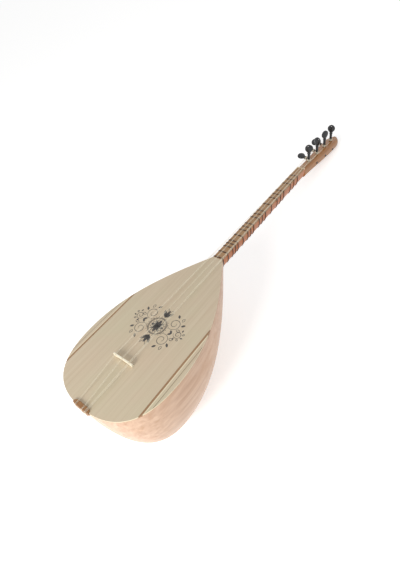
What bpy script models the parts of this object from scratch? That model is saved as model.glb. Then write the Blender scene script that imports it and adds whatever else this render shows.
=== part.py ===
"""A short-neck saz: a carved bowl, a flat soundboard, a neck with tied frets and seven friction pegs.

Everything is drawn in the instrument's own frame: the bridge is at y = 0, the top of the soundboard is
z = 0, +X is the treble side and +Y points to the head. One empty then lays the saz on its back.
"""
import math

import bmesh
import bpy
import numpy as np
from mathutils import Matrix, Vector

# strings and neck
string_length = 0.700
fret_fractions = (0.0556, 0.0833, 0.1111, 0.1605, 0.185, 0.2099, 0.25, 0.2917, 0.3125, 0.3333,
                  0.3704, 0.3889, 0.4074, 0.4375, 0.46875, 0.484, 0.5, 0.5278, 0.5556)
joint_y = 0.3085
nut_half = 0.01125
joint_half = 0.01275
nut_depth = 0.029
joint_depth = 0.0305
neck_fullness = 2.3
fingerboard_thick = 0.0025

# bowl and soundboard
half_width = 0.124
widest_y = 0.027
tail_y = -0.1107
bowl_depth = 0.208
deepest_y = -0.005
bowl_fullness = 2.9
bowl_swell = 0.06
bowl_wall = 0.005
cavity_end_y = 0.262
board_thick = 0.003
seam_x = 0.1055
seam_wide = 0.004
flat_relief = 0.0006
sound_hole_radius = 0.007
sound_hole_z = -0.036

# bridge, tailpiece and nut
bridge_long = 0.053
bridge_foot = 0.0042
bridge_crest = 0.0022
bridge_high = 0.0088
tailpiece_half = 0.0215
tailpiece_shelf = 0.0078
tailpiece_high = 0.0032
tailpiece_lip = 0.0024
tailpiece_drop = 0.012
nut_thick = 0.0034
nut_rise = 0.0014

# head and pegs
head_long = 0.218
head_tilt = math.radians(4.5)
head_step = 0.0015
head_edge = 0.0075
head_back = 0.0095
front_pegs = (0.048, 0.098, 0.145, 0.187)
side_pegs = (0.072, 0.121, 0.166)
front_turns = (25, -8, 60, 10)
side_turns = (168, 120, 145)
side_peg_depth = 0.0105
side_rise = 0.21
side_splay = 0.10
front_stem = 0.0455
side_exposed = 0.0092
side_tip = 0.0015
peg_thick_end = 0.0039
peg_thin_end = 0.0030
knob_long = 0.0245
knob_half = 0.0107
knob_thick = 0.0041
front_reach = 0.047

# strings at the nut, at the bridge and on the tailpiece, from bass to treble
nut_places = (-0.0088, -0.0074, -0.0008, 0.0008, 0.0066, 0.0078, 0.0090)
bridge_places = (-0.0190, -0.0172, 0.0000, 0.0018, 0.0186, 0.0203, 0.0220)
tail_places = (-0.0120, -0.0103, 0.0063, 0.0080, 0.0150, 0.0166, 0.0182)
string_radii = (0.00030, 0.00022, 0.00028, 0.00022, 0.00030, 0.00022, 0.00022)

gap = 0.0003
fret_cord = 0.0005
fret_turns = 2
fret_pitch = 0.00145
coil_wire = 0.0003
coil_turns = (5, 5, 5, 5, 4, 4, 4)
coil_points = 10
coil_pitch = 0.00105
coil_radius = 0.0047


def bezier(p0, p1, p2, p3, count=60):
    """Points along one cubic curve."""
    t = np.linspace(0, 1, count)[:, None]
    p = [np.array(q, float) for q in (p0, p1, p2, p3)]
    return (1 - t) ** 3 * p[0] + 3 * (1 - t) ** 2 * t * p[1] + 3 * (1 - t) * t**2 * p[2] + t**3 * p[3]


def outline(inset=0.0, end_y=joint_y, end_half=joint_half):
    """Half of the soundboard's edge from the tail to the neck: two curves that meet at the widest place."""
    wide, tail = half_width - inset, tail_y + inset
    lower = bezier((0, tail), (0.0904, tail), (wide, widest_y - 0.0914), (wide, widest_y))
    lean = 0.57
    upper = bezier((wide, widest_y), (wide, widest_y + 0.1129),
                   (end_half + 0.0865 * math.sin(lean), end_y - 0.0865 * math.cos(lean)),
                   (end_half, end_y))
    return np.concatenate([lower, upper[1:]])


def keel(inset=0.0, end_y=joint_y, end_depth=joint_depth):
    """The bowl's middle line (y, depth) from the tail down to the deepest place and up to the neck."""
    deep, tail = bowl_depth - inset, tail_y + inset
    lower = bezier((tail, 0), (tail, 0.0817), (deepest_y - 0.0844, deep), (deepest_y, deep))
    rise = 0.46
    upper = bezier((deepest_y, deep), (deepest_y + 0.1209, deep),
                   (end_y - 0.1127 * math.cos(rise), end_depth + 0.1127 * math.sin(rise)),
                   (end_y, end_depth))
    return lower, upper


def resample(points, count):
    """The same line through count points, evenly spaced along it."""
    step = np.linalg.norm(np.diff(points, axis=0), axis=1)
    run = np.concatenate([[0], np.cumsum(step)])
    at = np.linspace(0, run[-1], count)
    return np.stack([np.interp(at, run, points[:, k]) for k in range(points.shape[1])], 1)


def bowl_contour(depth, half_count, **form):
    """The bowl's level curve at one depth, as a ring: tail, treble side, bass side."""
    end = {k: v for k, v in form.items() if k != "end_depth"}
    deep_form = {k: v for k, v in form.items() if k != "end_half"}
    edge = outline(**end)
    lower, upper = keel(**deep_form)
    y_low = np.interp(depth, lower[:, 1], lower[:, 0])
    y_high = np.interp(-depth, -upper[:, 1], upper[:, 0])
    turn = np.linspace(0, math.pi, 160)
    y = y_low + (y_high - y_low) * (1 - np.cos(turn)) / 2
    line = np.concatenate([lower, upper[1:]])
    share = np.clip(depth / np.interp(y, line[:, 0], line[:, 1]), 0, 1)
    x = np.interp(y, edge[:, 1], edge[:, 0]) * (1 - share**bowl_fullness) ** (1 / bowl_fullness)
    x = x * (1 + bowl_swell * np.sin(math.pi * share))
    x[0] = 0
    side = resample(np.stack([x, y], 1), half_count)
    ring = np.concatenate([side, side[:0:-1] * [-1, 1]])
    return np.column_stack([ring, np.full(len(ring), -depth)])


def material(name, colour, roughness, metallic=0.0):
    """One Principled material for one piece."""
    made = bpy.data.materials.new(name)
    made.use_nodes = True
    shader = made.node_tree.nodes["Principled BSDF"]
    shader.inputs["Base Color"].default_value = (*colour, 1)
    shader.inputs["Roughness"].default_value = roughness
    shader.inputs["Metallic"].default_value = metallic
    return made


colours = {
    "bowl": ((0.86, 0.64, 0.50), 0.42),
    "board": ((0.56, 0.49, 0.38), 0.45),
    "strip": ((0.27, 0.16, 0.09), 0.50),
    "tailpiece": ((0.24, 0.12, 0.05), 0.40),
    "bridge": ((0.86, 0.82, 0.70), 0.45),
    "neck": ((0.48, 0.19, 0.07), 0.35),
    "fingerboard": ((0.38, 0.22, 0.11), 0.45),
    "nut": ((0.80, 0.66, 0.48), 0.40),
    "head": ((0.36, 0.18, 0.07), 0.35),
    "brace": ((0.60, 0.47, 0.31), 0.60),
    "fret": ((0.11, 0.05, 0.02), 0.35),
    "peg": ((0.012, 0.013, 0.016), 0.18),
    "string": ((0.75, 0.74, 0.70), 0.25, 1.0),
}


def add(name, bm, finish, smooth=math.radians(35)):
    """Turns a bmesh into a named object of one outward-facing body."""
    bmesh.ops.remove_doubles(bm, verts=bm.verts, dist=0.000001)
    bmesh.ops.dissolve_degenerate(bm, edges=bm.edges, dist=0.000001)
    bmesh.ops.recalc_face_normals(bm, faces=bm.faces)
    mesh = bpy.data.meshes.new(name)
    bm.to_mesh(mesh)
    bm.free()
    if smooth:
        mesh.shade_smooth()
        mesh.set_sharp_from_angle(angle=smooth)
    made = bpy.data.objects.new(name, mesh)
    bpy.context.scene.collection.objects.link(made)
    mesh.materials.append(material(name, *colours[finish]))
    made.parent = saz
    return made


def loft(rings, bm=None):
    """Joins closed rings of the same count with quads and closes both ends."""
    bm = bm or bmesh.new()
    rows = [[bm.verts.new(p) for p in ring] for ring in rings]
    count = len(rows[0])
    for row, following in zip(rows[:-1], rows[1:]):
        for i in range(count):
            j = (i + 1) % count
            bm.faces.new((row[i], row[j], following[j], following[i]))
    bm.faces.new(rows[0][::-1])
    bm.faces.new(rows[-1])
    return bm


def plate(points, low, high):
    """A flat plate between two heights, from its outline."""
    return loft([[(x, y, z) for x, y in points] for z in (low, high)])


def cutter(name, bm, target):
    """A hidden solid that is taken out of the target."""
    bmesh.ops.recalc_face_normals(bm, faces=bm.faces)
    mesh = bpy.data.meshes.new(name)
    bm.to_mesh(mesh)
    bm.free()
    made = bpy.data.objects.new(name, mesh)
    bpy.context.scene.collection.objects.link(made)
    made.parent = saz
    made.hide_render = True
    made.display_type = "WIRE"
    cut = target.modifiers.new(name, "BOOLEAN")
    cut.operation = "DIFFERENCE"
    cut.object = made
    return made


def box(low, high):
    """A plain box between two corners."""
    (x0, y0, z0), (x1, y1, z1) = low, high
    return plate([(x0, y0), (x1, y0), (x1, y1), (x0, y1)], z0, z1)


def wire(name, points, radius, finish, parent=None):
    """A round wire or cord through the points, with flat ends."""
    curve = bpy.data.curves.new(name, "CURVE")
    curve.dimensions = "3D"
    curve.bevel_depth = radius
    curve.bevel_resolution = 1
    curve.use_fill_caps = True
    spline = curve.splines.new("POLY")
    spline.points.add(len(points) - 1)
    spline.points.foreach_set("co", np.column_stack([points, np.ones(len(points))]).ravel())
    curve.materials.append(material(name, *colours[finish]))
    made = bpy.data.objects.new(name, curve)
    bpy.context.scene.collection.objects.link(made)
    made.parent = parent or saz
    return made


def head_point(along, x=0.0, above=0.0):
    """A point of the head: along its face from the nut, across it, and above the face."""
    return Vector((x, string_length + along * math.cos(head_tilt) + above * math.sin(head_tilt),
                   -head_step - along * math.sin(head_tilt) + above * math.cos(head_tilt)))


def head_half(along):
    """Half the head's width, swelling from the nut and rounded off at the tip."""
    wide = np.interp(along, (0, 0.04, 0.10, 0.15, 0.19), (0.0113, 0.0128, 0.0160, 0.0178, 0.0183))
    left = np.clip((head_long - along) / 0.030, 0, 1)
    return wide * math.sqrt(1 - (1 - left) ** 2.4)


def head_thick(along):
    """The head's thickness under its face."""
    return float(np.interp(along, (0, 0.05, 0.15, head_long), (0.0272, 0.0260, 0.0250, 0.0215)))


def rest_pose():
    """The tilt and lift that lay the bowl's back and the head's back end on the same level plane."""
    line = np.concatenate(keel())
    tip = head_point(head_long)
    end = head_point(head_long, 0, -head_thick(head_long))

    def heights(tilt):
        bowl = line[:, 0] * math.sin(tilt) - line[:, 1] * math.cos(tilt)
        return bowl.min() + flat_relief, end.y * math.sin(tilt) + end.z * math.cos(tilt)

    low, high = -0.5, 0.0
    for _ in range(60):
        middle = (low + high) / 2
        bowl, head = heights(middle)
        low, high = (low, middle) if head > bowl else (middle, high)
    far = tip.y * math.cos(middle) - (tip.z - 0.002) * math.sin(middle)
    near = (line[:, 0] * math.cos(middle) + line[:, 1] * math.sin(middle)).min()
    lift = -heights(middle)[0]
    return Matrix.Translation((0, -(far + near) / 2, lift)) @ Matrix.Rotation(middle, 4, "X")


def build_bowl():
    """The carved bowl: an open shell with a solid heel, a mortise for the neck and a hole at the tail."""
    half_count = 19
    seat = board_thick + gap
    inner_end = dict(inset=bowl_wall, end_y=cavity_end_y, end_half=0.010, end_depth=0.021)
    bend = np.sin(np.linspace(0, math.pi / 2, 12))[1:]
    start = np.linspace(seat, joint_depth, 4)
    outer = [*start, *(joint_depth + (bowl_depth - joint_depth) * bend)]
    depth = bowl_depth - bowl_wall
    inner = [seat, 0.012, 0.021, *(0.021 + (depth - 0.021) * bend)]
    rings = [bowl_contour(q, half_count) for q in outer[::-1]]
    rings += [bowl_contour(q, half_count, **inner_end) for q in inner]
    bm = loft(rings)
    rest = rest_pose()
    up = rest.to_3x3().inverted() @ Vector((0, 0, 1))
    on_plane = rest.inverted() @ Vector((0, 0, 0))
    bmesh.ops.remove_doubles(bm, verts=bm.verts, dist=0.000001)
    cut = bmesh.ops.bisect_plane(bm, geom=[*bm.verts, *bm.edges, *bm.faces], plane_co=on_plane,
                                 plane_no=up, clear_inner=True)
    edges = [e for e in cut["geom_cut"] if isinstance(e, bmesh.types.BMEdge)]
    bmesh.ops.contextual_create(bm, geom=edges)
    bowl = add("bowl", bm, "bowl")
    cutter("mortise_cut", box((-0.0068, joint_y - 0.040, -0.0240), (0.0068, joint_y + 0.01, -0.0060)), bowl)
    ring = [(sound_hole_radius * math.cos(a), tail_y - 0.01, sound_hole_z + sound_hole_radius * math.sin(a))
            for a in np.linspace(0, 2 * math.pi, 20, endpoint=False)]
    cutter("sound_hole_cut", loft([ring, [(x, y + 0.05, z) for x, y, z in ring]]), bowl)


def build_soundboard():
    """The centre board, the two brown strips let in beside it and the crescent wings outside them."""
    edge = resample(outline(), 56)
    inside = seam_x - seam_wide / 2
    outside = seam_x + seam_wide / 2
    widest = int(edge[:, 0].argmax())

    def crossing(x):
        below = np.interp(x, edge[: widest + 1, 0], edge[: widest + 1, 1])
        above = np.interp(-x, -edge[widest:, 0], edge[widest:, 1])
        return below, above

    low, high = crossing(inside)
    right = [p for p in edge if p[1] < low and p[0] < inside]
    right += [(inside, low), (inside, high)]
    right += [p for p in edge if p[1] > high and p[0] < inside]
    left = [(-x, y) for x, y in right[:0:-1]]
    add("soundboard_centre", plate([*right, *left], -board_thick, 0), "board")
    for side, name in ((-1, "bass"), (1, "treble")):
        a, b = inside + gap, outside - gap
        (low_a, high_a), (low_b, high_b) = crossing(a), crossing(b)
        strip = [(a, low_a), (b, low_b), (b, high_b), (a, high_a)]
        add("inlay_strip_" + name, plate([(side * x, y) for x, y in strip], -board_thick, 0), "strip")
        low, high = crossing(outside)
        wing = [(outside, low), *[p for p in edge if p[0] > outside], (outside, high)]
        add("soundboard_wing_" + name, plate([(side * x, y) for x, y in wing], -board_thick, 0), "board")


def build_braces():
    """Two bars under the soundboard, across the grain."""
    for name, y, half in (("brace_lower", 0.060, 0.108), ("brace_upper", 0.165, 0.074)):
        top = -board_thick - gap
        profile = [(-0.003, top), (0.003, top), (0.003, top - 0.006), (0, top - 0.010), (-0.003, top - 0.006)]
        rings = [[(x, y + u, top + (z - top) * tall) for u, z in profile]
                 for x, tall in ((-half, 0.35), (-half + 0.02, 1), (half - 0.02, 1), (half, 0.35))]
        add(name, loft(rings), "brace", smooth=None)


def neck_section(along, top):
    """The neck's U section at one place: a flat top and a full round belly, as (x, z) points."""
    share = (along - joint_y) / (string_length - joint_y)
    half = joint_half + (nut_half - joint_half) * share
    depth = joint_depth + (nut_depth - joint_depth) * share
    turn = np.linspace(0, math.pi, 9)
    x = half * np.sign(np.cos(turn)) * np.abs(np.cos(turn)) ** (2 / neck_fullness)
    z = -depth * np.sin(turn) ** (2 / neck_fullness)
    z = np.minimum(z, top)
    return np.stack([x, z], 1)


def build_neck():
    """The neck with its tenon, and the thin facing on top of it that the strings are stopped on."""
    top = -fingerboard_thick - gap
    head_end = string_length + nut_thick + gap
    places = [joint_y + gap, *np.linspace(joint_y, head_end, 5)[1:]]
    bm = loft([[(x, y, z) for x, z in neck_section(y, top)] for y in places])
    neck = add("neck", bm, "neck")
    tenon = box((-0.0065, joint_y - 0.0397, -0.0237), (0.0065, joint_y + 0.004, -0.0063))
    bmesh.ops.recalc_face_normals(tenon, faces=tenon.faces)
    shape = bpy.data.meshes.new("tenon_form")
    tenon.to_mesh(shape)
    tenon.free()
    form = bpy.data.objects.new("tenon_form", shape)
    bpy.context.scene.collection.objects.link(form)
    form.parent = saz
    form.hide_render = True
    form.display_type = "WIRE"
    join = neck.modifiers.new("tenon", "BOOLEAN")
    join.operation = "UNION"
    join.object = form
    ends = (joint_y + gap, string_length - gap)
    halves = [neck_section(y, 0)[0][0] for y in ends]
    points = [(-halves[0], ends[0]), (halves[0], ends[0]), (halves[1], ends[1]), (-halves[1], ends[1])]
    add("fingerboard", plate(points, -fingerboard_thick, 0), "fingerboard")


def build_frets():
    """Nineteen gut frets, each wound twice round the neck and fingerboard; each slides along them."""
    reach = gap + fret_cord
    least = []
    for number, fraction in enumerate(fret_fractions, 1):
        place = string_length * (1 - fraction)
        section = neck_section(place, 0)
        following = np.roll(section, -1, axis=0)
        before = np.roll(section, 1, axis=0)
        out_a = np.stack([-(section - before)[:, 1], (section - before)[:, 0]], 1)
        out_b = np.stack([-(following - section)[:, 1], (following - section)[:, 0]], 1)
        out_a /= np.linalg.norm(out_a, axis=1)[:, None]
        out_b /= np.linalg.norm(out_b, axis=1)[:, None]
        mitre = out_a + out_b
        mitre /= (mitre * out_a).sum(1)[:, None]
        loop = section + mitre * reach * (1 if (mitre[0] * section[0]).sum() > 0 else -1)
        count = len(loop)
        steps = np.arange(count * fret_turns)
        along = (steps / count - fret_turns / 2) * fret_pitch
        points = np.column_stack([loop[steps % count, 0], along, loop[steps % count, 1]])
        least.append(least_gap(points, fret_cord, count))
        carrier = bpy.data.objects.new("fret_%02d_seat" % number, None)
        bpy.context.scene.collection.objects.link(carrier)
        carrier.parent = saz
        carrier.location = (0, place, 0)
        wire("fret_%02d" % number, points, fret_cord, "fret", carrier)
    print("least gap of a fret to itself: %.2f mm" % (1000 * min(least)))


def least_gap(points, radius, turn):
    """The least distance between one turn of a wound cord and the next, between their surfaces."""
    fine = resample(points, len(points) * 6)
    apart = np.linalg.norm(fine[:, None] - fine[None], axis=2)
    far = np.abs(np.subtract.outer(np.arange(len(fine)), np.arange(len(fine)))) > turn * 3
    return apart[far].min() - 2 * radius


def build_nut():
    """The thin nut between the fingerboard and the head."""
    low, high = string_length, string_length + nut_thick
    profile = [(low, -fingerboard_thick), (high, -fingerboard_thick), (high, nut_rise - 0.0007),
               (low + 0.0009, nut_rise), (low, nut_rise)]
    rings = [[(x, y, z) for y, z in profile] for x in (-nut_half, nut_half)]
    add("nut", loft(rings), "nut", smooth=None)


def build_head():
    """The solid head, with four bores through its face and three through its side."""
    start = nut_thick + 2 * gap
    places = [start, 0.020, 0.045, 0.080, 0.115, 0.150, 0.185]
    places += [head_long - 0.030 * (1 - math.sin(a)) for a in np.linspace(0.25, math.pi / 2 - 0.12, 5)]
    rings = []
    for along in places:
        half, thick = head_half(along), head_thick(along)
        edge = min(head_edge, half * 0.6)
        round_back = min(head_back, half * 0.8)
        ring = []
        for cx, cz, r, first in ((half, 0, edge, 0), (-half, 0, edge, 1), (-half, -thick, round_back, 2),
                                 (half, -thick, round_back, 3)):
            for a in np.linspace(0, math.pi / 2, 4):
                turn = first * math.pi / 2 + a
                x = cx - math.copysign(r, cx) + r * math.cos(turn)
                z = cz + (-r if cz == 0 else r) + r * math.sin(turn)
                ring.append(head_point(along, x, z))
        rings.append(ring)
    for point in rings[0]:
        point.y = string_length + start
    head = add("head", loft(rings), "head")
    for name, carrier, stem in pegs():
        bm = bmesh.new()
        rings = []
        for along in (-stem - 0.01, -0.002):
            share = (along + stem) / stem
            r = peg_thin_end + (peg_thick_end - peg_thin_end) * share + gap
            rings.append([carrier @ Vector((r * math.cos(a), r * math.sin(a), along))
                          for a in np.linspace(0, 2 * math.pi, 18, endpoint=False)])
        cutter(name + "_bore", loft(rings, bm), head)


def pegs():
    """Each peg's name, placement (local z runs out along the peg, 0 under the knob) and stem length."""
    made = []
    for number, (along, turn) in enumerate(zip(front_pegs, front_turns), 1):
        base = head_point(along)
        out = head_point(along, 0, 1) - base
        origin = base + out * (front_reach - knob_long)
        made.append(("front_peg_%d" % number, placement(origin, out, Vector((1, 0, 0)), turn), front_stem))
    for number, (along, turn) in enumerate(zip(side_pegs, side_turns), 1):
        base = head_point(along, 0, -side_peg_depth)
        out = Vector((-1, side_splay, side_rise)).normalized()
        side = head_half(along) / abs(out.x)
        origin = base + out * (side + side_exposed)
        stem = 2 * side + side_exposed + side_tip
        made.append(("side_peg_%d" % number, placement(origin, out, Vector((0, 1, 0)), turn), stem))
    return made


def placement(origin, out, across, turn):
    """A frame whose z runs along out, turned about it by the given degrees."""
    z = out.normalized()
    x = (across - z * across.dot(z)).normalized()
    y = z.cross(x)
    frame = Matrix((x, y, z)).transposed().to_4x4()
    frame.translation = origin
    return frame @ Matrix.Rotation(math.radians(turn), 4, "Z")


def build_pegs():
    """Seven alike pegs: a tapered stem, a turned bead and a flat rounded knob, each with its winding."""
    least = []
    for number, (name, carrier, stem) in enumerate(pegs()):
        rings = []
        for z, half, thick in ((-stem, peg_thin_end, peg_thin_end), (-0.0015, peg_thick_end, peg_thick_end),
                               (-0.0010, 0.0046, 0.0046), (0.0006, 0.0048, 0.0048), (0.0016, 0.0039, 0.0037),
                               (0.0030, 0.0042, 0.0036), (0.0055, 0.0070, 0.0038), (0.0090, 0.0097, 0.0040),
                               (0.0130, knob_half, knob_thick), (0.0170, 0.0101, 0.0040),
                               (0.0205, 0.0079, 0.0035), (0.0230, 0.0048, 0.0026), (knob_long, 0.0016, 0.0010)):
            rings.append([(half * math.cos(a), thick * math.sin(a), z)
                          for a in np.linspace(0, 2 * math.pi, 14, endpoint=False)])
        peg = add(name, loft(rings), "peg", smooth=math.radians(50))
        peg.matrix_local = carrier
        steps = np.arange(coil_turns[number] * coil_points + 1)
        turn = 2 * math.pi * steps / coil_points
        z = -coil_start(number) - steps / coil_points * coil_pitch
        points = np.column_stack([coil_radius * np.cos(turn), coil_radius * np.sin(turn), z])
        least.append(least_gap(points, coil_wire, coil_points))
        wire(name.replace("peg", "winding"), points, coil_wire, "string", peg)
    print("least gap of a winding to itself: %.2f mm" % (1000 * min(least)))


def coil_start(number):
    """How far under the knob a peg's winding starts: low on a front peg, close to it on a side peg."""
    if number < len(front_pegs):
        return front_reach - knob_long - coil_turns[number] * coil_pitch - 0.0016
    return 0.0017


def build_bridge():
    """The loose bridge: a thin bar on two feet with a low arch between them."""
    half = bridge_long / 2
    arch = [(half * 0.62 * math.cos(a), gap + 0.0024 * math.sin(a)) for a in np.linspace(0, math.pi, 9)]
    profile = [(half, gap), *arch, (-half, gap), (-half, bridge_high * 0.72),
               (-half + 0.0035, bridge_high), (half - 0.0035, bridge_high), (half, bridge_high * 0.72)]
    rings = []
    for side in (-1, 1):
        rings.append([(x, side * (bridge_foot + (bridge_crest - bridge_foot) * z / bridge_high) / 2, z)
                      for x, z in profile])
    add("bridge", loft(rings), "bridge", smooth=None)


def build_tailpiece():
    """A small block over the tail edge: a shelf on the soundboard and a lip down the bowl."""
    edge = outline()
    xs = np.linspace(-tailpiece_half, tailpiece_half, 9)
    rings = []
    for x in xs:
        y = np.interp(abs(x), edge[:40, 0], edge[:40, 1])
        slope = np.interp(abs(x) + 0.001, edge[:40, 0], edge[:40, 1]) - y
        out = Vector((math.copysign(slope, x) if x else 0, -0.001, 0)).normalized()
        end = 1 - (abs(x) / tailpiece_half) ** 6 * 0.45
        profile = [(-tailpiece_shelf * end, gap), (gap, gap), (gap, -tailpiece_drop * end),
                   (gap + tailpiece_lip * end, -tailpiece_drop * end), (gap + tailpiece_lip * end, gap),
                   (gap + tailpiece_lip * 0.4, gap + tailpiece_high * end), (-tailpiece_shelf * end + 0.001,
                                                                         gap + tailpiece_high * end)]
        rings.append([(x + out.x * u, y + out.y * u, z) for u, z in profile])
    add("tailpiece", loft(rings), "tailpiece")


def string_route(number):
    """One string's path: under the lip, over the tailpiece, the bridge and the nut, to its winding."""
    r = string_radii[number]
    edge = outline()
    tail_x = tail_places[number]
    rim = float(np.interp(abs(tail_x), edge[:40, 0], edge[:40, 1]))
    shelf = gap + tailpiece_high + gap + r
    lip = rim - gap - tailpiece_lip - gap - r
    route = [(tail_x, lip, -tailpiece_drop + 0.002), (tail_x, lip, gap - 0.0005),
             (tail_x, lip + 0.0004, shelf - 0.0012), (tail_x, rim - gap - tailpiece_lip * 0.4, shelf),
             (tail_x, rim + tailpiece_shelf - 0.0012, shelf)]
    top = bridge_high + gap + r
    x = bridge_places[number]
    route += [(x, -0.0016, top), (x, 0.0016, top)]
    over = nut_rise + gap + r
    x = nut_places[number]
    route += [(x, string_length, over), (x, string_length + 0.0009, over)]
    route.append(string_end(number))
    return route


def string_end(number):
    """Where a string leaves for its winding: a hair outside the winding's first turns."""
    order = (4, 5, 6, 0, 1, 2, 3)
    carrier = pegs()[order[number]][1]
    clear = coil_radius + coil_wire + gap + string_radii[number]
    middle = coil_start(order[number]) + coil_turns[order[number]] * coil_pitch / 2
    centre = carrier @ Vector((0, 0, -middle))
    if order[number] >= len(front_pegs):
        z = (carrier.to_3x3() @ Vector((0, 0, 1))).normalized()
        up = (Vector((0, 0, 1)) - z * z.z).normalized()
        return tuple(centre + up * clear)
    return tuple(centre + Vector((clear, 0, 0)))


def build_strings():
    """Seven strings in three courses, from bass to treble."""
    for number in range(len(nut_places)):
        wire("string_%d" % (number + 1), string_route(number), string_radii[number], "string")


for old in list(bpy.data.objects):
    bpy.data.objects.remove(old)
saz = bpy.data.objects.new("saz", None)
bpy.context.scene.collection.objects.link(saz)
saz.matrix_world = rest_pose()
build_bowl()
build_soundboard()
build_braces()
build_neck()
build_frets()
build_nut()
build_head()
build_pegs()
build_bridge()
build_tailpiece()
build_strings()
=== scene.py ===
import math

import bmesh
import bpy
import numpy as np
from mathutils import Matrix, Vector


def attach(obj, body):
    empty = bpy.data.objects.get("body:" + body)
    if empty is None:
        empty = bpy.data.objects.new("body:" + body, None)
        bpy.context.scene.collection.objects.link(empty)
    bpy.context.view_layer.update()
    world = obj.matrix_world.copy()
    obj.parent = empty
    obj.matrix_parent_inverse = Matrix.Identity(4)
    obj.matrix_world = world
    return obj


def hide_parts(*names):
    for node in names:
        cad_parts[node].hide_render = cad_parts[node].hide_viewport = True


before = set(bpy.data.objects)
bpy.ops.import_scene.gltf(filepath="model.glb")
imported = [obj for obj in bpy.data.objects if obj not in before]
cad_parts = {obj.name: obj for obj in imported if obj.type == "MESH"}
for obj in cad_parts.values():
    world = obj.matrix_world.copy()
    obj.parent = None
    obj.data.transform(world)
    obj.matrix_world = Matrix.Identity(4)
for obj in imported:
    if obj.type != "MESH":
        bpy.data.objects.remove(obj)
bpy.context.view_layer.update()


print("frame loaded")

# how the saz lies: tilted so that the bowl's back and the head's end touch the floor
saz = {"tilt": math.asin(0.181898), "along": -0.390727, "lift": 0.205923, "stringLength": 0.700}
restPose = Matrix.Translation((0, saz["along"], saz["lift"])) @ Matrix.Rotation(-saz["tilt"], 4, "X")
turnPart = np.array(restPose.to_3x3())
movePart = np.array(restPose.translation)


def toWorld(points):
    return points @ turnPart.T + movePart


# wraps an output socket, so that shader maths reads as plain maths
class Socket:
    def __init__(self, shading, source):
        self.shading, self.source = shading, source

    def maths(self, operation, *others):
        return self.shading.node("ShaderNodeMath", {"operation": operation}, [self, *others])

    def __add__(self, other):
        return self.maths("ADD", other)

    def __sub__(self, other):
        return self.maths("SUBTRACT", other)

    def __mul__(self, other):
        return self.maths("MULTIPLY", other)

    def __truediv__(self, other):
        return self.maths("DIVIDE", other)

    def __pow__(self, other):
        return self.maths("POWER", other)

    def __rsub__(self, other):
        return self.shading.node("ShaderNodeMath", {"operation": "SUBTRACT"}, [other, self])

    __radd__ = __add__
    __rmul__ = __mul__

    def clamp(self):
        return self.shading.node("ShaderNodeClamp", {}, [self])

    def absolute(self):
        return self.maths("ABSOLUTE")

    def near(self, place, half, soft):
        # 1 within half of place, falling to 0 over soft
        return (1 - ((self - place).absolute() - half) / soft).clamp()


# a node tree, with one method that adds any node
class Shading:
    def __init__(self, tree):
        self.tree = tree

    def node(self, kind, settings=None, inputs=(), output=0):
        made = self.tree.nodes.new(kind)
        for key, value in (settings or {}).items():
            setattr(made, key, value)
        pairs = inputs.items() if isinstance(inputs, dict) else enumerate(inputs)
        for key, value in pairs:
            if isinstance(value, Socket):
                self.tree.links.new(value.source, made.inputs[key])
            else:
                made.inputs[key].default_value = value
        return Socket(self, made.outputs[output])

    def unlitRay(self):
        # 1 for camera, clear and glossy rays
        camera, clear, gloss = [self.node("ShaderNodeLightPath", output="Is %s Ray" % kind)
                                for kind in ("Camera", "Transmission", "Glossy")]
        return camera.maths("MAXIMUM", clear).maths("MAXIMUM", gloss)


# a procedural material
class Paint(Shading):
    def __init__(self, name, roughness, **fixed):
        self.made = bpy.data.materials.new(name)
        self.made.use_nodes = True
        super().__init__(self.made.node_tree)
        self.shader = self.tree.nodes["Principled BSDF"]
        self.shader.inputs["Roughness"].default_value = roughness
        for key, value in fixed.items():
            self.shader.inputs[key.replace("_", " ")].default_value = value

    def place(self):
        # the instrument's own frame: x across, y along, z off the soundboard
        spot = self.node("ShaderNodeTexCoord", output="Object")
        moved = self.node("ShaderNodeVectorMath", {"operation": "SUBTRACT"}, [spot, tuple(movePart)])
        return self.node("ShaderNodeMapping", {}, {"Vector": moved, "Rotation": (saz["tilt"], 0, 0)})

    def axes(self, vector):
        return [self.node("ShaderNodeSeparateXYZ", {}, [vector], output=k) for k in range(3)]

    def scaled(self, vector, sizes):
        return self.node("ShaderNodeVectorMath", {"operation": "MULTIPLY"}, [vector, sizes])

    def noise(self, vector, scale=1.0, detail=3.0, distortion=0.0):
        return self.node("ShaderNodeTexNoise", {}, {"Vector": vector, "Scale": scale, "Detail": detail,
                                                    "Distortion": distortion})

    def mix(self, factor, first, second):
        # socket 0 is the factor, 6 and 7 are the colours and output 2 is the colour
        first, second = [v if isinstance(v, Socket) else (*linear(v), 1) for v in (first, second)]
        return self.node("ShaderNodeMix", {"data_type": "RGBA"}, {0: factor, 6: first, 7: second}, 2)

    def feed(self, name, value):
        self.tree.links.new(value.source, self.shader.inputs[name])

    def bump(self, height, strength, distance):
        made = self.node("ShaderNodeBump", {}, {"Height": height, "Strength": strength, "Distance": distance})
        self.feed("Normal", made)


def linear(colour):
    # a colour as seen on screen, 0 to 1, made linear
    return tuple(v / 12.92 if v <= 0.04045 else ((v + 0.055) / 1.055) ** 2.4 for v in colour)


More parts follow.
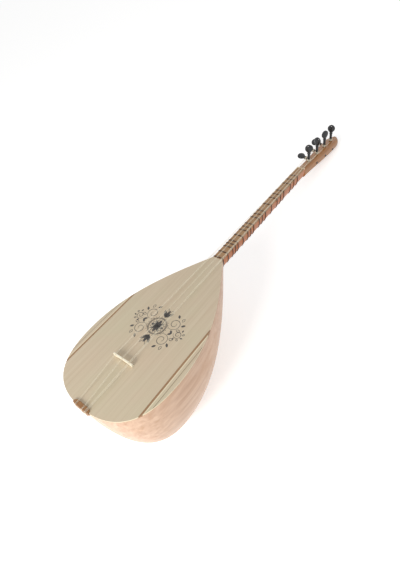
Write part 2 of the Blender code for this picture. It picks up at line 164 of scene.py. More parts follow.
def wood(name, pale, dark, roughness=0.4, lines=700.0, blotch=14.0, contrast=0.55, coat=0.25, warm=None):
    # straight grain along the instrument: noise drawn out along y, over slow broad patches
    paint = Paint(name, roughness, Coat_Weight=coat, Coat_Roughness=0.25)
    spot = paint.place()
    fine = paint.noise(paint.scaled(spot, (lines, lines * 0.02, lines * 0.5)), 1.0, 4.0, 0.2)
    broad = paint.noise(paint.scaled(spot, (blotch * 3, blotch * 0.4, blotch * 3)), 1.0, 3.0, 0.6)
    shade = ((fine * 0.6 + broad * 0.7 - 0.35) * (1.6 * contrast) + 0.1).clamp()
    colour = paint.mix(shade, pale, dark)
    if warm:
        patch = paint.noise(paint.scaled(spot, (22.0, 6.0, 22.0)), 1.0, 2.0)
        colour = paint.mix(((patch - 0.45) * 2.2).clamp(), colour, warm)
    paint.feed("Base Color", colour)
    paint.feed("Roughness", fine * 0.16 + (roughness - 0.08))
    paint.bump(fine, 0.12, 0.0002)
    return paint


bowlPaint = wood("bowlLacquer", (0.965, 0.84, 0.735), (0.74, 0.54, 0.385), 0.38, 260.0, 26.0, 0.75, 0.2,
                 (0.86, 0.67, 0.51))
neckPaint = wood("neckLacquer", (0.86, 0.51, 0.26), (0.64, 0.33, 0.14), 0.38, 500.0, 12.0, 0.7, 0.15)
facingPaint = wood("facingWood", (0.76, 0.60, 0.43), (0.58, 0.42, 0.27), 0.42, 800.0, 14.0, 0.7, 0.15)
headPaint = wood("headLacquer", (0.78, 0.52, 0.26), (0.50, 0.31, 0.13), 0.34, 500.0, 16.0, 0.75, 0.2)
stripPaint = wood("stripWood", (0.72, 0.57, 0.42), (0.54, 0.39, 0.26), 0.45, 700.0, 12.0, 0.7, 0.1)
tailPaint = wood("tailpieceWood", (0.70, 0.50, 0.30), (0.48, 0.32, 0.17), 0.38, 700.0, 16.0, 0.7, 0.2)
bridgePaint = wood("bridgeWood", (0.99, 0.97, 0.90), (0.93, 0.89, 0.78), 0.42, 900.0, 20.0, 0.4, 0.15)
bracePaint = wood("braceWood", (0.86, 0.77, 0.64), (0.72, 0.61, 0.47), 0.6, 900.0, 12.0, 0.6, 0.0)

nutPaint = Paint("nutBone", 0.38, Coat_Weight=0.2)
grain = nutPaint.noise(nutPaint.scaled(nutPaint.place(), (300.0, 900.0, 300.0)), 1.0, 3.0)
nutPaint.feed("Base Color", nutPaint.mix(grain, (0.95, 0.90, 0.80), (0.86, 0.77, 0.63)))


def boardPaint():
    # spruce-like board: narrow year lines, slow tint changes, a pale cream band on each side and pale cream
    # side faces, a thin dark line in each wing
    look = {"pale": (0.875, 0.815, 0.715), "dark": (0.775, 0.69, 0.565), "green": (0.825, 0.79, 0.67),
            "pink": (0.86, 0.765, 0.665), "line": (0.50, 0.40, 0.30), "edge": (0.98, 0.92, 0.79),
            "lineOut": 0.1155, "creamOut": 0.1088}
    paint = Paint("boardWood", 0.42, Coat_Weight=0.2, Coat_Roughness=0.3)
    spot = paint.place()
    x, y, z = paint.axes(spot)
    fine = paint.noise(paint.scaled(spot, (900.0, 9.0, 100.0)), 1.0, 3.0, 0.1)
    wide = paint.noise(paint.scaled(spot, (160.0, 1.5, 20.0)), 1.0, 2.0)
    shade = ((fine * 0.55 + wide * 0.75 - 0.38) * 1.3).clamp()
    colour = paint.mix(shade, look["pale"], look["dark"])
    tint = paint.noise(paint.scaled(spot, (12.0, 7.0, 12.0)), 1.0, 2.0)
    colour = paint.mix(((tint - 0.5) * 3.0).clamp(), colour, look["green"])
    colour = paint.mix(((0.46 - tint) * 3.0).clamp(), colour, look["pink"])
    colour = paint.mix(x.absolute().near(look["lineOut"], 0.00035, 0.0002), colour, look["line"])
    colour = paint.mix(x.absolute().near(look["creamOut"], 0.0008, 0.0004) * 0.7, colour, look["edge"])
    colour = paint.mix(((-0.0004 - z) * 2000.0).clamp(), colour, look["edge"])
    paint.feed("Base Color", colour)
    paint.feed("Roughness", fine * 0.15 + 0.34)
    paint.bump(fine, 0.10, 0.00015)
    return paint


board = boardPaint()

pegPaint = Paint("pegBlack", 0.12, Coat_Weight=0.25, Coat_Roughness=0.06)
smudge = pegPaint.noise(pegPaint.scaled(pegPaint.place(), (90.0, 90.0, 90.0)), 1.0, 3.0)
pegPaint.feed("Base Color", pegPaint.mix(smudge, (0.03, 0.035, 0.05), (0.07, 0.08, 0.10)))
pegPaint.feed("Roughness", smudge * 0.12 + 0.08)

fretPaint = Paint("fretCord", 0.32, Coat_Weight=0.3)
sheen = fretPaint.noise(fretPaint.scaled(fretPaint.place(), (400.0, 400.0, 400.0)), 1.0, 2.0)
fretPaint.feed("Base Color", fretPaint.mix(sheen, (0.34, 0.22, 0.14), (0.20, 0.12, 0.08)))

steelPaint = Paint("stringSteel", 0.45, Metallic=0.7)
ripple = steelPaint.noise(steelPaint.scaled(steelPaint.place(), (500.0, 60.0, 500.0)), 1.0, 2.0)
steelPaint.feed("Base Color", steelPaint.mix(ripple, (0.98, 0.96, 0.89), (0.88, 0.84, 0.74)))

inkPaint = Paint("ornamentInk", 0.55)
wear = inkPaint.noise(inkPaint.scaled(inkPaint.place(), (260.0, 260.0, 260.0)), 1.0, 4.0)
inkPaint.feed("Base Color", inkPaint.mix(((wear - 0.35) * 2.0).clamp(), (0.28, 0.27, 0.27),
                                    (0.45, 0.43, 0.40)))
print("materials made")


# joins (rows, columns, 3) grids into one mesh: columns close round, rows run on, ends are capped
def piece(name, grids, paint, body, nodes=(), smoothAngle=40.0):
    points, faces, start = [], [], 0
    for grid in grids:
        rows, columns = grid.shape[:2]
        index = start + np.arange(rows * columns).reshape(rows, columns)
        after = np.roll(index, -1, axis=1)
        quads = np.stack([index[:-1], after[:-1], after[1:], index[1:]], -1).reshape(-1, 4)
        faces += [*quads.tolist(), index[0][::-1].tolist(), index[-1].tolist()]
        points.append(grid.reshape(-1, 3))
        start += rows * columns
    mesh = bpy.data.meshes.new(name)
    mesh.from_pydata(toWorld(np.concatenate(points)), [], faces)
    tidy = bmesh.new()
    tidy.from_mesh(mesh)
    bmesh.ops.remove_doubles(tidy, verts=tidy.verts, dist=0.000002)
    bmesh.ops.recalc_face_normals(tidy, faces=tidy.faces)
    tidy.to_mesh(mesh)
    tidy.free()
    mesh.shade_smooth()
    mesh.set_sharp_from_angle(angle=math.radians(smoothAngle))
    made = bpy.data.objects.new(name, mesh)
    bpy.context.scene.collection.objects.link(made)
    mesh.materials.append(paint.made)
    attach(made, body)
    if nodes:
        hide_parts(*nodes)
    return made


def bezierLine(p0, p1, p2, p3, count=200):
    # a cubic curve through its two ends, pulled towards the two middle points
    t = np.linspace(0, 1, count)[:, None]
    p = [np.array(q, float) for q in (p0, p1, p2, p3)]
    return (1 - t) ** 3 * p[0] + 3 * (1 - t) ** 2 * t * p[1] + 3 * (1 - t) * t**2 * p[2] + t**3 * p[3]


def evenLine(points, count):
    # the same line through count evenly spaced points
    run = np.concatenate([[0], np.cumsum(np.linalg.norm(np.diff(points, axis=0), axis=1))])
    at = np.linspace(0, run[-1], count)
    return np.stack([np.interp(at, run, points[:, k]) for k in range(points.shape[1])], 1)


def tubeGrid(path, radius, sides):
    # a round tube: circles carried along the path on frames that turn as little as they can
    path = np.asarray(path, float)
    along = np.gradient(path, axis=0)
    along /= np.linalg.norm(along, axis=1)[:, None]
    normal = np.zeros_like(path)
    first = np.cross(along[0], [0.3, 0.2, 0.93])
    normal[0] = first / np.linalg.norm(first)
    for i in range(1, len(path)):
        flat = normal[i - 1] - along[i] * (normal[i - 1] @ along[i])
        normal[i] = flat / np.linalg.norm(flat)
    across = np.cross(along, normal)
    turn = np.linspace(0, 2 * math.pi, sides, endpoint=False)
    return (path[:, None] + radius * (normal[:, None] * np.cos(turn)[None, :, None]
                                      + across[:, None] * np.sin(turn)[None, :, None]))


# level curves of a full superellipse section between the board's outline and the keel.
# A pull is how far a curve's middle point stands off its end.

bowl = {"jointY": 0.3085, "jointHalf": 0.01275, "jointDepth": 0.0305, "halfWidth": 0.124, "widestY": 0.027,
        "tailY": -0.1107, "depth": 0.208, "deepestY": -0.005, "fullness": 2.9, "swell": 0.06, "wall": 0.005,
        "boardThick": 0.003, "holeRadius": 0.007, "holeZ": -0.036, "holeDeep": 0.04, "gap": 0.0003,
        "tailPull": 0.0904, "widePulls": (0.0914, 0.1129), "neckPull": 0.0865, "neckLean": 0.57,
        "keelPulls": (0.0817, 0.0844, 0.1209, 0.1127), "keelRise": 0.46,
        "hollowY": 0.262, "hollowHalf": 0.010, "hollowDepth": 0.021}


def boardOutline(inset, endY, endHalf):
    # half of the board's edge: tail to widest place to neck
    wide, tail, lean = bowl["halfWidth"] - inset, bowl["tailY"] + inset, bowl["neckLean"]
    middle, pull = bowl["widestY"], bowl["neckPull"]
    below, above = bowl["widePulls"]
    lower = bezierLine((0, tail), (bowl["tailPull"], tail), (wide, middle - below), (wide, middle))
    upper = bezierLine((wide, middle), (wide, middle + above),
                       (endHalf + pull * math.sin(lean), endY - pull * math.cos(lean)), (endHalf, endY))
    return np.concatenate([lower, upper[1:]])


def keelLine(inset, endY, endDepth):
    # the middle line of the bowl's back: tail down to the deepest place and up to the neck
    deep, tail, rise = bowl["depth"] - inset, bowl["tailY"] + inset, bowl["keelRise"]
    low, down, up, high = bowl["keelPulls"]
    lower = bezierLine((tail, 0), (tail, low), (bowl["deepestY"] - down, deep), (bowl["deepestY"], deep))
    upper = bezierLine((bowl["deepestY"], deep), (bowl["deepestY"] + up, deep),
                       (endY - high * math.cos(rise), endDepth + high * math.sin(rise)), (endY, endDepth))
    return lower, upper


def bowlLevel(depth, inset, endY, endHalf, endDepth, half=110):
    edge = boardOutline(inset, endY, endHalf)
    lower, upper = keelLine(inset, endY, endDepth)
    yLow = np.interp(depth, lower[:, 1], lower[:, 0])
    yHigh = np.interp(-depth, -upper[:, 1], upper[:, 0])
    y = yLow + (yHigh - yLow) * (1 - np.cos(np.linspace(0, math.pi, 400))) / 2
    line = np.concatenate([lower, upper[1:]])
    share = np.clip(depth / np.interp(y, line[:, 0], line[:, 1]), 0, 1)
    x = np.interp(y, edge[:, 1], edge[:, 0]) * (1 - share ** bowl["fullness"]) ** (1 / bowl["fullness"])
    x = x * (1 + bowl["swell"] * np.sin(math.pi * share))
    x[0] = 0
    side = evenLine(np.stack([x, y], 1), half)
    ring = np.concatenate([side, side[:0:-1] * [-1, 1]])
    return np.column_stack([ring, np.full(len(ring), -depth)])


def makeBowl():
    seat, hollow = bowl["boardThick"] + bowl["gap"], bowl["hollowDepth"]
    bend = np.sin(np.linspace(0, math.pi / 2, 60))[1:]
    outside = (0.0, bowl["jointY"], bowl["jointHalf"], bowl["jointDepth"])
    inside = (bowl["wall"], bowl["hollowY"], bowl["hollowHalf"], hollow)
    deepIn = bowl["depth"] - bowl["wall"]
    outer = [*np.linspace(seat, bowl["jointDepth"], 12),
             *(bowl["jointDepth"] + (bowl["depth"] - bowl["jointDepth"]) * bend)]
    inner = [*np.linspace(seat, hollow, 6), *(hollow + (deepIn - hollow) * bend[::3]), deepIn]
    rings = [bowlLevel(q, *outside) for q in outer[::-1]] + [bowlLevel(q, *inside) for q in inner]
    made = piece("bowlShell", [np.array(rings)], bowlPaint, "saz", ["bowl"], 35.0)
    place = np.zeros(len(made.data.vertices) * 3)
    made.data.vertices.foreach_get("co", place)
    place = place.reshape(-1, 3)
    place[:, 2] = np.maximum(place[:, 2], 0)  # the small flat that it rests on
    made.data.vertices.foreach_set("co", place.ravel())
    turn = np.linspace(0, 2 * math.pi, 48, endpoint=False)
    ring = np.stack([bowl["holeRadius"] * np.cos(turn), np.full(48, bowl["tailY"] - 0.01),
                     bowl["holeZ"] + bowl["holeRadius"] * np.sin(turn)], 1)
    rings = toWorld(np.stack([ring, ring + [0, 0.01 + bowl["holeDeep"], 0]]).reshape(-1, 3))
    faces = [[i, (i + 1) % 48, 48 + (i + 1) % 48, 48 + i] for i in range(48)]
    drill = bpy.data.meshes.new("holeDrill")
    drill.from_pydata(rings, [], [*faces, list(range(48))[::-1], list(range(48, 96))])
    flip = bmesh.new()
    flip.from_mesh(drill)
    bmesh.ops.recalc_face_normals(flip, faces=flip.faces)
    flip.to_mesh(drill)
    flip.free()
    tool = bpy.data.objects.new("holeDrill", drill)
    bpy.context.scene.collection.objects.link(tool)
    cut = made.modifiers.new("soundHole", "BOOLEAN")
    cut.operation, cut.object, cut.solver = "DIFFERENCE", tool, "EXACT"
    view = bpy.context.evaluated_depsgraph_get()
    drilled = bpy.data.meshes.new_from_object(made.evaluated_get(view))
    made.modifiers.clear()
    made.data = drilled
    bpy.data.objects.remove(tool)


makeBowl()
print("bowl made")


neck = {"nutHalf": 0.01125, "nutDepth": 0.029, "fullness": 2.3, "facing": 0.0025, "end": 0.7037}
frets = {"fractions": (0.0556, 0.0833, 0.1111, 0.1605, 0.185, 0.2099, 0.25, 0.2917, 0.3125, 0.3333,
                       0.3704, 0.3889, 0.4074, 0.4375, 0.46875, 0.484, 0.5, 0.5278, 0.5556),
         "cord": 0.0005, "turns": 2, "pitch": 0.00145, "gap": 0.00025}


def neckSection(y, top, count):
    # a U: flat on top, a full superellipse below
    share = (y - bowl["jointY"]) / (saz["stringLength"] - bowl["jointY"])
    half = bowl["jointHalf"] + (neck["nutHalf"] - bowl["jointHalf"]) * share
    depth = bowl["jointDepth"] + (neck["nutDepth"] - bowl["jointDepth"]) * share
    turn = np.linspace(0, math.pi, count)
    x = half * np.sign(np.cos(turn)) * np.abs(np.cos(turn)) ** (2 / neck["fullness"])
    z = np.minimum(-depth * np.sin(turn) ** (2 / neck["fullness"]), top)
    return np.stack([x, z], 1)


def makeNeck():
    places = np.linspace(bowl["jointY"] + bowl["gap"], neck["end"], 30)
    rows = [np.column_stack([s[:, 0], np.full(len(s), y), s[:, 1]])
            for y in places for s in [neckSection(y, -neck["facing"] - bowl["gap"], 40)]]
    piece("neckBody", [np.array(rows)], neckPaint, "saz", ["neck"], 35.0)


def fretPath(y):
    # the cord's loop stands off the U section by its own radius and climbs one pitch a turn
    section = evenLine(np.concatenate([neckSection(y, 0, 90), neckSection(y, 0, 90)[:1]]), 97)[:-1]
    before, after = np.roll(section, 2, 0), np.roll(section, -2, 0)
    run = after - before
    out = np.stack([run[:, 1], -run[:, 0]], 1) / np.linalg.norm(run, axis=1)[:, None]
    if (out[10] * section[10]).sum() < 0:
        out = -out
    loop = section + out * (frets["gap"] + frets["cord"])
    steps = np.arange(len(loop) * frets["turns"])
    along = y + (steps / len(loop) - frets["turns"] / 2) * frets["pitch"]
    return np.column_stack([loop[steps % len(loop), 0], along, loop[steps % len(loop), 1]])


makeNeck()
for number, fraction in enumerate(frets["fractions"], 1):
    path = fretPath(saz["stringLength"] * (1 - fraction))
    piece("fretCord%02d" % number, [tubeGrid(path, frets["cord"], 10)], fretPaint,
          "fret_%02d_loop" % number, ["fret_%02d" % number], 60.0)
print("neck and frets made")


head = {"long": 0.218, "tilt": math.radians(4.5), "step": 0.0015, "start": 0.0040, "edge": 0.0075,
        "back": 0.0095, "tipLong": 0.030, "tipPower": 2.4,
        "halfAt": (0, 0.04, 0.10, 0.15, 0.19), "half": (0.0113, 0.0128, 0.0160, 0.0178, 0.0183),
        "thickAt": (0, 0.05, 0.15, 0.218), "thick": (0.0272, 0.0260, 0.0250, 0.0215)}
pegs = {"front": (0.048, 0.098, 0.145, 0.187), "side": (0.072, 0.121, 0.166), "frontTurn": (25, -8, 60, 10),
        "sideTurn": (168, 120, 145), "sideDeep": 0.0105, "rise": 0.21, "splay": 0.10, "frontStem": 0.0455,
        "reach": 0.047, "exposed": 0.0092, "tip": 0.0015, "knob": 0.0245,
        "coilRadius": 0.0047, "coilWire": 0.0003, "coilPitch": 0.00105, "coilTurns": (5, 5, 5, 5, 4, 4, 4),
        "coilLow": 0.0016, "coilHigh": 0.0017, "thinEnd": 0.0030, "chamfer": 0.0004,
        # the knob from bead to crown, as (height, half width, half thickness)
        "line": ((-0.0015, 0.0039, 0.0039), (-0.0010, 0.0047, 0.0047), (0.0, 0.0050, 0.0050),
                 (0.0009, 0.0046, 0.0045), (0.0016, 0.0040, 0.0037), (0.0030, 0.0042, 0.0036),
                 (0.0055, 0.0070, 0.0038), (0.0090, 0.0097, 0.0040), (0.0130, 0.0107, 0.0041),
                 (0.0170, 0.0102, 0.0040), (0.0205, 0.0081, 0.0036), (0.0230, 0.0050, 0.0027),
                 (0.0245, 0.0006, 0.0004))}


def headPoint(along, x=0.0, above=0.0):
    c, s = math.cos(head["tilt"]), math.sin(head["tilt"])
    y, z = saz["stringLength"] + along * c + above * s, -head["step"] - along * s + above * c
    return np.stack(np.broadcast_arrays(x, y, z), -1)


def headHalf(along):
    wide = np.interp(along, head["halfAt"], head["half"])
    left = np.clip((head["long"] - along) / head["tipLong"], 0, 1)
    return wide * np.sqrt(1 - (1 - left) ** head["tipPower"])


def makeHead():
    # rounded rectangles along the head, closing in a half circle at the tip: four corners of ten points
    tip = head["long"] - head["tipLong"] * (1 - np.sin(np.linspace(0.1, math.pi / 2 - 0.02, 24)))
    along = np.concatenate([[head["start"]], np.linspace(0.012, 0.187, 36), tip])[:, None, None]
    half, thick = headHalf(along), np.interp(along, head["thickAt"], head["thick"])
    sideways, under = np.array([1, -1, -1, 1])[:, None], np.array([0, 0, 1, 1])[:, None]
    r = np.where(under, np.minimum(head["back"], half * 0.8), np.minimum(head["edge"], half * 0.6))
    turn = np.arange(4)[:, None] * math.pi / 2 + np.linspace(0, math.pi / 2, 10)
    x = sideways * (half - r) + r * np.cos(turn)
    z = (2 * under - 1) * r - under * thick + r * np.sin(turn)
    rows = headPoint(along, x, z).reshape(len(along), 40, 3)
    rows[0, :, 1] = saz["stringLength"] + head["start"]
    piece("headBody", [rows], headPaint, "saz", ["head"], 38.0)


def pegFrame(origin, out, across, turn):
    z = Vector(out).normalized()
    x = (Vector(across) - z * Vector(across).dot(z)).normalized()
    made = Matrix((x, z.cross(x), z)).transposed().to_4x4()
    made.translation = origin
    return made @ Matrix.Rotation(math.radians(turn), 4, "Z")


def pegList():
    made = []
    up = headPoint(0, 0, 1) - headPoint(0)
    for along, turn in zip(pegs["front"], pegs["frontTurn"]):
        origin = headPoint(along) + up * (pegs["reach"] - pegs["knob"])
        start = pegs["reach"] - pegs["knob"] - pegs["coilTurns"][0] * pegs["coilPitch"] - pegs["coilLow"]
        made.append((pegFrame(origin, up, (1, 0, 0), turn), pegs["frontStem"], start))
    for along, turn in zip(pegs["side"], pegs["sideTurn"]):
        out = Vector((-1, pegs["splay"], pegs["rise"])).normalized()
        side = headHalf(along) / abs(out.x)
        origin = headPoint(along, 0, -pegs["sideDeep"]) + np.array(out) * (side + pegs["exposed"])
        stem = 2 * side + pegs["exposed"] + pegs["tip"]
        made.append((pegFrame(origin, out, (0, 1, 0), turn), stem, pegs["coilHigh"]))
    return made


def makePegs():
    # the knob's line made smooth: finer points, then three rounds of averaging with the neighbours
    knobLine = np.array(pegs["line"])
    run, fine = np.linspace(0, 1, len(knobLine)), np.linspace(0, 1, 73)
    smooth = np.stack([np.interp(fine, run, knobLine[:, k]) for k in range(3)], 1)
    for _ in range(3):
        smooth[1:-1] = (smooth[:-2] + 2 * smooth[1:-1] + smooth[2:]) / 4
    turn = np.linspace(0, 2 * math.pi, 40, endpoint=False)
    names = ["front_peg_%d" % n for n in (1, 2, 3, 4)] + ["side_peg_%d" % n for n in (1, 2, 3)]
    for number, (name, (place, stem, start)) in enumerate(zip(names, pegList())):
        thin, chamfer = pegs["thinEnd"], pegs["chamfer"]
        end = [(-stem, thin - chamfer, thin - chamfer), (-stem + chamfer, thin, thin)]
        line = np.concatenate([end, smooth])
        local = np.stack([line[:, None, 1] * np.cos(turn), line[:, None, 2] * np.sin(turn),
                          np.repeat(line[:, :1], len(turn), 1)], -1)
        matrix = np.array(place)
        grid = local @ matrix[:3, :3].T + matrix[:3, 3]
        piece(name.replace("_", "") + "Turned", [grid], pegPaint, name + "_turning",
              [name], 50.0)
        count = pegs["coilTurns"][number] * 30 + 1
        angle = 2 * math.pi * np.arange(count) / 30
        coil = np.stack([pegs["coilRadius"] * np.cos(angle), pegs["coilRadius"] * np.sin(angle),
                         -start - angle / (2 * math.pi) * pegs["coilPitch"]], 1)
        coil = coil @ matrix[:3, :3].T + matrix[:3, 3]
        piece(name.replace("_peg_", "Winding"), [tubeGrid(coil, pegs["coilWire"], 8)], steelPaint,
              name + "_turning", [name.replace("peg", "winding")], 60.0)


makeHead()
makePegs()
print("head and pegs made")


# a spray of scrolls and leaves in thin ink lines on the soundboard
ornament = {"middle": (0.003, 0.094), "line": 0.0006, "height": 0.00006, "lift": 0.00004,
            "scrolls": ((0.030, 0.021, 0.0150), (0.030, -0.021, 0.0150), (0.052, 0.004, 0.0095)),
            "rosette": 0.0165, "rings": (0.0185, 0.0205), "beads": 24, "beadRing": 0.0226}


def inkGrid(points, widths):
    # a flat ribbon on the board: the line offset to both sides, with a hair of thickness
    points = np.asarray(points, float)
    run = np.gradient(points, axis=0)
    side = np.stack([-run[:, 1], run[:, 0]], 1) / np.linalg.norm(run, axis=1)[:, None]
    left, right = points + side * widths[:, None], points - side * widths[:, None]
    low, high = ornament["lift"], ornament["lift"] + ornament["height"]
    rows = [np.column_stack([p, np.full(len(p), z)]) for p, z in ((left, low), (right, low), (right, high),
                                                                  (left, high))]
    return np.stack(rows, 1)


def scroll(centre, size, turns, start, hand):
    # a spiral whose radius falls evenly from size to a quarter of it
    t = np.linspace(0, 1, 60)
    angle = start + hand * turns * 2 * math.pi * t
    radius = size * (1 - 0.78 * t)
    return np.stack([centre[0] + radius * np.cos(angle), centre[1] + radius * np.sin(angle)], 1)


def leafEdges(root, heading, size, bulge):
    # two arcs that meet in a point
    t = np.linspace(0, 1, 24)
    c, s = math.cos(heading), math.sin(heading)
    return [np.stack([root[0] + size * t * c - v * s, root[1] + size * t * s + v * c], 1)
            for v in (size * bulge * np.sin(math.pi * t), -size * bulge * np.sin(math.pi * t))]


def leafFill(root, heading, size, bulge):
    # a straight line as wide as a leaf
    t = np.linspace(0, 1, 24)
    line = np.stack([root[0] + size * t * math.cos(heading), root[1] + size * t * math.sin(heading)], 1)
    return inkGrid(line, size * bulge * np.sin(math.pi * t) + 0.00005)


def ringLine(centre, radius):
    t = np.linspace(0, 2 * math.pi, 72)
    return np.stack([centre[0] + radius * np.cos(t), centre[1] + radius * np.sin(t)], 1)


def makeOrnament():
    mx, my = ornament["middle"]
    lines, fills = [], []
    for hand in (-1, 1):
        for dx, dy, size in ornament["scrolls"]:
            centre = (mx + hand * dx, my + dy)
            up = 1 if dy > 0 else -1
            root = math.atan2(-dy, -hand * dx)
            lines.append(scroll(centre, size, 1.55, root, hand * up))
            for k in range(5):
                angle = root + hand * up * (1.1 + 0.75 * k)
                foot = (centre[0] + size * 1.02 * math.cos(angle), centre[1] + size * 1.02 * math.sin(angle))
                tilt = angle + hand * up * 0.7
                if k % 2:
                    lines += leafEdges(foot, tilt, size * 0.62, 0.26)
                else:
                    fills.append(leafFill(foot, tilt, size * 0.66, 0.24))
        for k in range(3):
            fills.append(leafFill((mx, my + hand * 0.024), hand * math.pi / 2 + (k - 1) * 0.62, 0.020, 0.17))
        for k in range(2):
            lines += leafEdges((mx, my + hand * 0.024), hand * math.pi / 2 + (k - 0.5) * 0.62, 0.024, 0.13)
    for k in range(8):
        angle = k * math.pi / 4
        fills.append(leafFill((mx, my), angle, ornament["rosette"], 0.19))
        lines += leafEdges((mx, my), angle + math.pi / 8, ornament["rosette"], 0.16)
    lines += [ringLine((mx, my), radius) for radius in ornament["rings"]]
    for k in range(ornament["beads"]):
        angle = 2 * math.pi * k / ornament["beads"]
        spot = (mx + ornament["beadRing"] * math.cos(angle), my + ornament["beadRing"] * math.sin(angle))
        fills.append(leafFill(spot, angle, 0.0016, 0.4))
    for line in lines:
        closed = np.linalg.norm(line[0] - line[-1]) < 0.0001
        swell = np.ones(len(line)) if closed else np.sin(math.pi * np.linspace(0, 1, len(line)))
        fills.append(inkGrid(line, ornament["line"] * (0.4 + 0.6 * swell)))
    piece("boardOrnament", fills, inkPaint, "saz", (), 20.0)


makeOrnament()


# each string's places on the nut, the bridge and the tailpiece, from bass to treble
strings = {"nut": (-0.0088, -0.0074, -0.0008, 0.0008, 0.0066, 0.0078, 0.0090),
           "bridge": (-0.0190, -0.0172, 0.0000, 0.0018, 0.0186, 0.0203, 0.0220),
           "tail": (-0.0120, -0.0103, 0.0063, 0.0080, 0.0150, 0.0166, 0.0182),
           "radius": (0.00030, 0.00022, 0.00028, 0.00022, 0.00030, 0.00022, 0.00022),
           "order": (4, 5, 6, 0, 1, 2, 3), "bridgeHigh": 0.0088, "nutRise": 0.0014, "gap": 0.0003}
tailpiece = {"shelf": 0.0078, "high": 0.0032, "lip": 0.0024, "drop": 0.012}


def stringEnd(number):
    which = strings["order"][number]
    place, _stem, start = pegList()[which]
    clear = pegs["coilRadius"] + pegs["coilWire"] + strings["gap"] + strings["radius"][number]
    centre = place @ Vector((0, 0, -start - pegs["coilTurns"][which] * pegs["coilPitch"] / 2))
    if which < 4:
        return np.array(centre) + [clear, 0, 0]
    z = (place.to_3x3() @ Vector((0, 0, 1))).normalized()
    up = (Vector((0, 0, 1)) - z * z.z).normalized()
    return np.array(centre + up * clear)


def makeStrings():
    # each string runs from the tailpiece's lip, over the bridge and the nut, to its winding
    edge = boardOutline(0, bowl["jointY"], bowl["jointHalf"])[:200]
    gap = strings["gap"]
    for number in range(7):
        r, tailX = strings["radius"][number], strings["tail"][number]
        rim = float(np.interp(abs(tailX), edge[:, 0], edge[:, 1]))
        shelf = gap + tailpiece["high"] + gap + r
        lip = rim - gap - tailpiece["lip"] - gap - r
        x, nutX = strings["bridge"][number], strings["nut"][number]
        top, over = strings["bridgeHigh"] + gap + r, strings["nutRise"] + gap + r
        route = [(tailX, lip, -tailpiece["drop"] + 0.002), (tailX, lip, gap - 0.0005),
                 (tailX, lip + 0.0004, shelf - 0.0012), (tailX, rim - gap - tailpiece["lip"] * 0.4, shelf),
                 (tailX, rim + tailpiece["shelf"] - 0.0012, shelf), (x, -0.0016, top), (x, 0.0016, top),
                 (nutX, saz["stringLength"], over), (nutX, saz["stringLength"] + 0.0009, over),
                 tuple(stringEnd(number))]
        path = []
        for first, second in zip(route[:-1], route[1:]):
            share = np.linspace(0, 1, 12, endpoint=False)[:, None]
            path.append(np.array(first) * (1 - share) + np.array(second) * share)
        path = np.concatenate([*path, [route[-1]]])
        piece("string%dWire" % (number + 1), [tubeGrid(path, r, 8)], steelPaint, "saz",
              ["string_%d" % (number + 1)], 60.0)


makeStrings()
print("ornament and strings made")

# every CAD node has its finish, also those that finer pieces stand for
finishes = {"soundboard_centre": board, "soundboard_wing_bass": board, "soundboard_wing_treble": board,
            "inlay_strip_bass": stripPaint, "inlay_strip_treble": stripPaint, "tailpiece": tailPaint,
            "bridge": bridgePaint, "fingerboard": facingPaint, "nut": nutPaint, "brace_lower": bracePaint,
            "brace_upper": bracePaint, "bowl": bowlPaint, "neck": neckPaint, "head": headPaint}
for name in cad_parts:
    paint = finishes.get(name)
    if paint is None:
        paint = fretPaint if name.startswith("fret") else pegPaint if "peg" in name else steelPaint
    node = bpy.data.objects[name]
    if not node.material_slots:
        node.data.materials.append(paint.made)
    for place in node.material_slots:
        place.material = paint.made

stageLook = {"floorSize": 12.0, "floorZ": -0.0002, "paper": (0.93, 0.93, 0.93, 1), "floorLift": 0.47,
             "worldStrength": 0.52, "keyPower": 25.0, "fillPower": 2.0}


world = bpy.data.worlds.new("studio")
bpy.context.scene.world = world
world.use_nodes = True
sky = Shading(world.node_tree)
plain = sky.tree.nodes["Background"]
plain.inputs["Color"].default_value = (1, 1, 1, 1)
plain.inputs["Strength"].default_value = stageLook["worldStrength"]
# camera, clear and glossy rays see plain white, the others see the dimmer sky that lights the scene
white = sky.node("ShaderNodeBackground", {}, {"Color": (1, 1, 1, 1), "Strength": 1.0})
chosen = sky.node("ShaderNodeMixShader", {}, [sky.unlitRay(), Socket(sky, plain.outputs[0]), white])
sky.tree.links.new(chosen.source, sky.tree.nodes["World Output"].inputs["Surface"])

floorMesh = bpy.data.meshes.new("floor")
far, low = stageLook["floorSize"] / 2, stageLook["floorZ"]
floorCorners = [(-far, -far, low), (far, -far, low), (far, far, low), (-far, far, low)]
floorMesh.from_pydata(floorCorners, [], [(0, 1, 2, 3)])
floor = bpy.data.objects.new("floor", floorMesh)
bpy.context.scene.collection.objects.link(floor)
floorPaint = Paint("floorPaper", 0.9)
floorPaint.shader.inputs["Base Color"].default_value = stageLook["paper"]
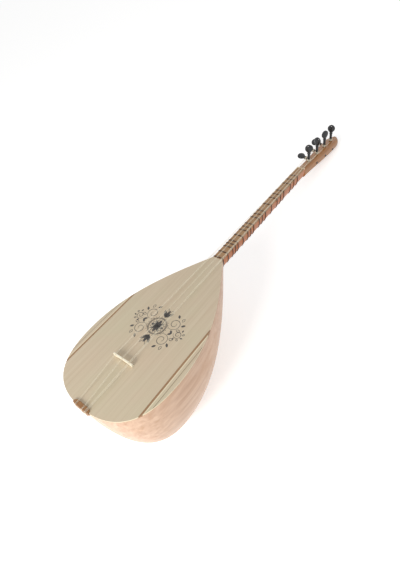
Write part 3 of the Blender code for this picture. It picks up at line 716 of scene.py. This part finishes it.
# camera, clear and glossy rays see the paper with its shadow, lifted to white
seen = floorPaint.node("ShaderNodeBsdfDiffuse", {}, {"Color": stageLook["paper"]})
glow = floorPaint.node("ShaderNodeEmission", {}, {"Color": (1, 1, 1, 1), "Strength": stageLook["floorLift"]})
lifted = floorPaint.node("ShaderNodeAddShader", {}, [seen, glow])
paper = Socket(floorPaint, floorPaint.shader.outputs[0])
both = floorPaint.node("ShaderNodeMixShader", {}, [floorPaint.unlitRay(), paper, lifted])
floorPaint.tree.links.new(both.source, floorPaint.tree.nodes["Material Output"].inputs["Surface"])
floorMesh.materials.append(floorPaint.made)


def lamp(name, power, size, place, target, colour):
    light = bpy.data.lights.new(name, "AREA")
    light.energy, light.size, light.color = power, size, colour
    made = bpy.data.objects.new(name, light)
    bpy.context.scene.collection.objects.link(made)
    made.location = place
    made.rotation_euler = (Vector(target) - Vector(place)).to_track_quat("-Z", "Y").to_euler()


lamp("key", stageLook["keyPower"], 0.7, (0.15, -1.9, 1.25), (0, -0.25, 0.15), (1.0, 0.97, 0.93))
lamp("fill", stageLook["fillPower"], 1.8, (1.5, 0.6, 1.4), (0, 0, 0.1), (0.94, 0.97, 1.0))

# in the instrument's own frame: where the camera stands and what is right, down and ahead in its picture
camera = {"place": (0.4503, -0.1415, 0.5754), "right": (0.77333, 0.5995, -0.20633),
          "down": (0.33313, -0.6611, -0.67229), "ahead": (-0.53944, 0.45116, -0.71096),
          "focalPixels": 376.86, "tallPixels": 570, "sensor": 36.0}
lens = bpy.data.cameras.new("camera")
lens.sensor_width, lens.clip_start = camera["sensor"], 0.01
lens.lens = camera["focalPixels"] / camera["tallPixels"] * camera["sensor"]
viewer = bpy.data.objects.new("camera", lens)
bpy.context.scene.collection.objects.link(viewer)
axes = Matrix((Vector(camera["right"]), -Vector(camera["down"]), -Vector(camera["ahead"])))
turned = axes.transposed().to_4x4()
viewer.matrix_world = restPose @ Matrix.Translation(camera["place"]) @ turned
bpy.context.scene.camera = viewer
bpy.context.scene.view_settings.view_transform = "Standard"
print("stage made")
